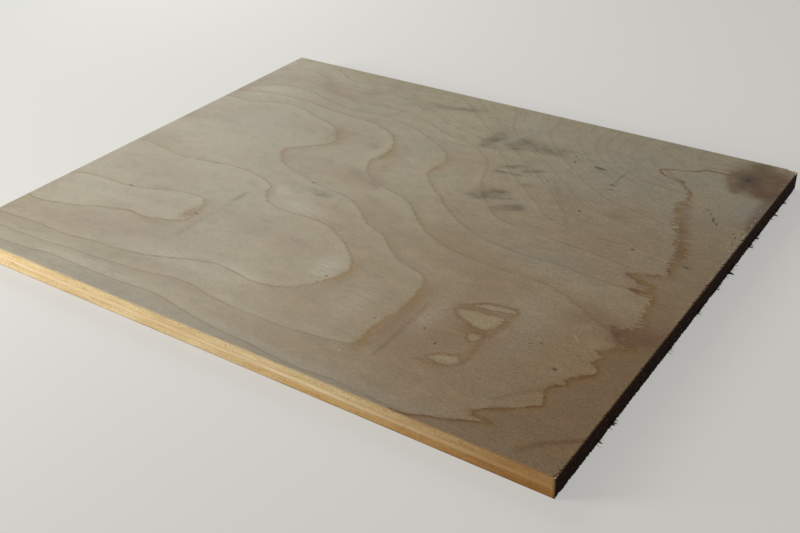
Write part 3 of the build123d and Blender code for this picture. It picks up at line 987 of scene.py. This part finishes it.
    # Pores, fibres along the grain, and what the sandpaper left
    fleck = cloud(tree, coords, (2.6, 0.3, 1), 3.0, 51.0)
    fibre = cloud(tree, coords, (30, 0.8, 10), 4.0, 52.0)
    grain = cloud(tree, coords, (5.5, 0.9, 3), 4.0, 53.0, 0.7)
    sanding = cloud(tree, coords, (1.6, 1.2, 3), 3.0, 54.0, 0.6)
    shade = plus(tree, times(tree, grain, 0.44), times(tree, sanding, 0.52))
    shade = plus(tree, times(tree, fibre, 0.14), shade)
    shade = plus(tree, shade, times(tree, blotch, 0.12))
    coarser = times(tree, centred(tree, sanding), rise(tree, x, 0.04, 0.16, 0.0, 0.5))
    shade = plus(tree, shade, coarser)
    brightness = calc(tree, "SUBTRACT", 1.65, shade)
    lit = tree.nodes.new("ShaderNodeCombineColor")
    for channel in lit.inputs[:3]:
        put(tree, channel, brightness)
    colour = blend(tree, 1.0, colour, lit.outputs[0], "MULTIPLY")
    colour = blend(tree, rise(tree, fleck, 0.54, 0.75, 0.0, 0.26), colour, ring_brown)
    # Painted shade: a little darker at the left end, where the lamps light it most
    colour = blend(tree, rise(tree, x, 0.0, -0.1), colour, srgb(238, 236, 234), "MULTIPLY")
    # Painted shade: darker within half a millimetre of the rough cut
    colour = shade_near_cut(tree, coords, colour, 0.5)

    # Rub marks, dark specks and pale nicks
    streaky = rise(tree, cloud(tree, coords, (4.5, 3.0, 10), 4.0, 61.0), 0.32, 0.62, 0.45, 1.0)
    rubbed = times(tree, painted(tree, "rubbed"), streaky)
    colour = tinted(tree, colour, rubbed, 0.85, srgb(78, 70, 54))
    colour = tinted(tree, colour, spots(tree, coords, specks), 0.8, srgb(62, 52, 38))
    colour = tinted(tree, colour, spots(tree, coords, nicks), 0.45, srgb(206, 196, 178))

    put(tree, shader.inputs["Base Color"], colour)
    relief(tree, shader, fibre, 0.06, relief(tree, shader, fleck, 0.05))
    return material


face_sheet = outer_veneer("face_veneer_sheet", "face_veneer", outward=1, cell=1.6 * mm, cuts=4,
                          fringe=0.3 * mm, seed=17.0)
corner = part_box("core_veneer")[0]
spread_out = np.array([vertex.co[:2] for vertex in face_sheet.data.vertices])
spread_out = (spread_out - np.array(corner[:2])) / mm
step = 0.5
numbers = ring_surface(spread_out)
slopes_x = (ring_surface(spread_out + [step, 0]) - numbers) / step
slopes_y = (ring_surface(spread_out + [0, step]) - numbers) / step
paint(face_sheet, "ring", numbers)
paint(face_sheet, "ring_slope_x", slopes_x)
flattest_slope = 0.012
paint(face_sheet, "ring_slope", np.maximum(np.hypot(slopes_x, slopes_y), flattest_slope))
band_side = np.where(inside(spread_out, beyond_band), 1.0, -1.0)
paint(face_sheet, "band", line_distance(spread_out, band_line) * band_side)
island_distance = np.full(len(spread_out), 1e3)
for outline in islands:
    side = np.where(inside(spread_out, outline), -1.0, 1.0)
    distance = side * line_distance(spread_out, outline, closed=True)
    island_distance = np.minimum(island_distance, distance)
paint(face_sheet, "island", island_distance)
steps_by_name = {"band_reach": band_reaches, "tooth": band_teeth, "band_brown": band_browns}
for name, steps in steps_by_name.items():
    paint(face_sheet, name, np.interp(spread_out[:, 1], *zip(*steps)))
core_place, core_reach = np.array([368.3, 296.6]), np.array([2.0, 2.6])
paint(face_sheet, "knot_core", np.linalg.norm((spread_out - core_place) / core_reach, axis=1))
patches_by_name = {
    "knot": knot_patches,
    "knot_red": red_patches,
    "amber": amber_patches,
    "blush": blush_patches,
    "grey": grey_patches,
    "pale": pale_patches,
    "brown": brown_patches,
}
for name, patches in patches_by_name.items():
    paint(face_sheet, name, soft_patches(spread_out, patches))
streak_strength = np.zeros(len(spread_out))
for line, half_width, strength in streaks:
    fading = np.exp(-((line_distance(spread_out, line) / half_width) ** 2))
    streak_strength = np.maximum(streak_strength, strength * fading)
paint(face_sheet, "streak", streak_strength)
unrubbed = np.ones(len(spread_out))
for start, end, half_width, strength in rub_strokes:
    fading = np.exp(-((line_distance(spread_out, [start, end]) / half_width) ** 2))
    unrubbed *= 1 - strength * fading
paint(face_sheet, "rubbed", 1 - unrubbed)
face_sheet.data.materials.append(face_veneer_material())
face_sheet.data.materials.append(veneer_walls("face_veneer_edge"))
for face in face_sheet.data.polygons:
    face.material_index = 0 if face.normal.z > 0.5 else 1


# Torn fibres: loose ends of wood that still hang from the rough cut after the saw.
# Each is a thin bent sliver, rooted in the ply that it was pulled out of. Most hang in tufts along
# the lower arris, where the teeth came out of the wood, and a few pale ones along the upper.

tufts = [42, 56, 122, 160, 188, 204, 209, 240, 252, 284, 302]
tuft_spread = 5.0 * mm
tuft_share = 0.75
longest_fibre = 3.0 * mm
fibre_root = 0.5 * mm
front_margin = 1 * mm
rear_margin = 7 * mm


def torn_fibres(name, count, root_low, root_high, length_share, tufted, seed):
    """Bent slivers on the rough end between two heights, joined in one mesh."""
    chance = random.Random(seed)
    bpy.ops.object.select_all(action="DESELECT")
    bpy.ops.mesh.primitive_circle_add(vertices=4, radius=1, fill_type="NGON")
    pattern = bpy.context.object
    bpy.ops.object.mode_set(mode="EDIT")
    bpy.ops.mesh.select_all(action="SELECT")
    for reach, narrowing, sideways in ((0.45, 0.75, 0.02), (0.35, 0.6, 0.06), (0.2, 0.35, 0.09)):
        bpy.ops.mesh.extrude_region_move(TRANSFORM_OT_translate={"value": (sideways, 0, reach)})
        bpy.ops.transform.resize(value=(narrowing, narrowing, 1))
    bpy.ops.mesh.select_all(action="SELECT")
    bpy.ops.mesh.normals_make_consistent(inside=False)
    bpy.ops.object.mode_set(mode="OBJECT")
    low, high = (Vector(corner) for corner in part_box("core_veneer"))
    copies = []
    for _ in range(count):
        length = (0.5 * mm + longest_fibre * chance.random() ** 2.2) * length_share
        if tufted and chance.random() < tuft_share:
            y = low.y + chance.choice(tufts) * mm + chance.gauss(0, 0.4) * tuft_spread
        else:
            y = chance.uniform(low.y + front_margin, high.y - rear_margin)
            length *= 0.5 if tufted else 1.0
        y = min(max(y, low.y + front_margin), high.y - rear_margin)
        root = Vector((high.x - fibre_root, y, chance.uniform(root_low, root_high)))
        thickness = chance.uniform(0.08, 0.32) * mm
        lean = Vector((1, chance.uniform(-0.8, 0.8), chance.uniform(-0.3, 0.12)))
        turn = lean.to_track_quat("Z", "X") @ Quaternion((0, 0, 1), chance.uniform(0, 6.28))
        sliver = pattern.copy()
        sliver.data = pattern.data.copy()
        bpy.context.scene.collection.objects.link(sliver)
        for vertex in sliver.data.vertices:
            grown = Vector((vertex.co.x, vertex.co.y * 0.6, 0)) * thickness
            grown.x += 0.12 * length * vertex.co.z ** 2
            grown.z = vertex.co.z * length
            vertex.co = root + turn @ grown
            vertex.co.z = max(vertex.co.z, 0.02 * mm)
        copies.append(sliver)
    bpy.data.objects.remove(pattern)
    bpy.ops.object.select_all(action="DESELECT")
    for sliver in copies:
        sliver.select_set(True)
    bpy.context.view_layer.objects.active = copies[0]
    bpy.ops.object.join()
    piece = bpy.context.object
    piece.name = name
    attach(piece, "root")
    return piece


# The torn fibres carry the rough cut's painted shade, which makes them almost black
fibre_wood = long_grain("torn_fibre_wood", crossband_dark, crossband_pore, "Y", True, 0.9)
lower_fibres = torn_fibres("lower_torn_fibres", 260, 0.3 * mm, 3.5 * mm, 1.0, True, 71)
lower_fibres.data.materials.append(fibre_wood)
inner_fibres = torn_fibres("inner_torn_fibres", 160, 1 * mm, 10.5 * mm, 0.4, False, 72)
inner_fibres.data.materials.append(fibre_wood)
upper_fibres = torn_fibres("upper_torn_fibres", 120, 11.3 * mm, 11.9 * mm, 0.4, False, 73)
upper_fibres.data.materials.append(veneer_walls("torn_face_fibre"))


# Setting: a plain pale floor, a soft key light from the front left, a weaker one from the left
# and behind, and the camera where the sheet was seen from.

floor_shaded = srgb(120, 118, 114)
floor_seen = srgb(158, 157, 154)
backdrop_pale = srgb(226, 226, 224)
room_light = srgb(133, 126, 113)
floor_glow = 0.52
floor_size = 12.0
floor_drop = 0.02 * mm


def seen_directly(tree):
    """1 for the rays that show the setting itself, in the camera, in gloss or through glass."""
    path = tree.nodes.new("ShaderNodeLightPath")
    seen = calc(tree, "MAXIMUM", path.outputs["Is Camera Ray"], path.outputs["Is Glossy Ray"])
    return calc(tree, "MAXIMUM", seen, path.outputs["Is Transmission Ray"])


bpy.ops.object.select_all(action="DESELECT")
bpy.ops.mesh.primitive_plane_add(size=floor_size, location=(0, 0, -floor_drop))
floor = bpy.context.object
floor.name = "floor"
floor_material = bpy.data.materials.new("pale_floor")
floor_material.use_nodes = True
floor_tree = floor_material.node_tree
floor_shader = floor_tree.nodes["Principled BSDF"]
floor_shader.inputs["Roughness"].default_value = 0.9
floor_shader.inputs["Specular IOR Level"].default_value = 0.1
floor_shader.inputs["Emission Color"].default_value = backdrop_pale
seen = seen_directly(floor_tree)
floor_colour = blend(floor_tree, seen, floor_shaded, floor_seen)
put(floor_tree, floor_shader.inputs["Base Color"], floor_colour)
put(floor_tree, floor_shader.inputs["Emission Strength"], times(floor_tree, seen, floor_glow))
floor.data.materials.append(floor_material)


def area_light(name, location, size, power, spread, colour):
    """A soft square lamp aimed at the middle of the sheet; spread is its beam in degrees."""
    bpy.ops.object.light_add(type="AREA", location=location)
    lamp = bpy.context.object
    lamp.name = name
    lamp.data.size = size
    lamp.data.energy = power
    lamp.data.spread = math.radians(spread)
    lamp.data.color = colour
    lamp.rotation_euler = (-Vector(location)).to_track_quat("-Z", "Y").to_euler()


area_light("key_light", (-0.56, -0.56, 0.205), size=0.3, power=2.6, spread=110,
           colour=(1.0, 0.99, 0.96))
area_light("side_light", (-0.55, 0.33, 0.42), size=0.4, power=2.4, spread=180,
           colour=(0.98, 1.0, 0.99))

world = bpy.context.scene.world or bpy.data.worlds.new("World")
bpy.context.scene.world = world
world.use_nodes = True
world_tree = world.node_tree
background = world_tree.nodes["Background"]
world_colour = blend(world_tree, seen_directly(world_tree), room_light, backdrop_pale)
put(world_tree, background.inputs["Color"], world_colour)
background.inputs["Strength"].default_value = 1.0

camera_place = Vector((333.3, -465.4, 315.5)) * mm
camera_heading = math.radians(35.01)
camera_pitch = math.radians(31.49)
camera_roll = math.radians(-1.72)
camera_lens = 48.59
bpy.ops.object.camera_add(location=camera_place)
camera = bpy.context.object
camera.data.lens = camera_lens
turn = Quaternion((0, 0, 1), camera_heading)
turn = turn @ Quaternion((1, 0, 0), math.radians(90) - camera_pitch)
turn = turn @ Quaternion((0, 0, 1), camera_roll)
camera.rotation_euler = turn.to_euler()
bpy.context.scene.camera = camera
bpy.context.scene.view_settings.view_transform = "Standard"
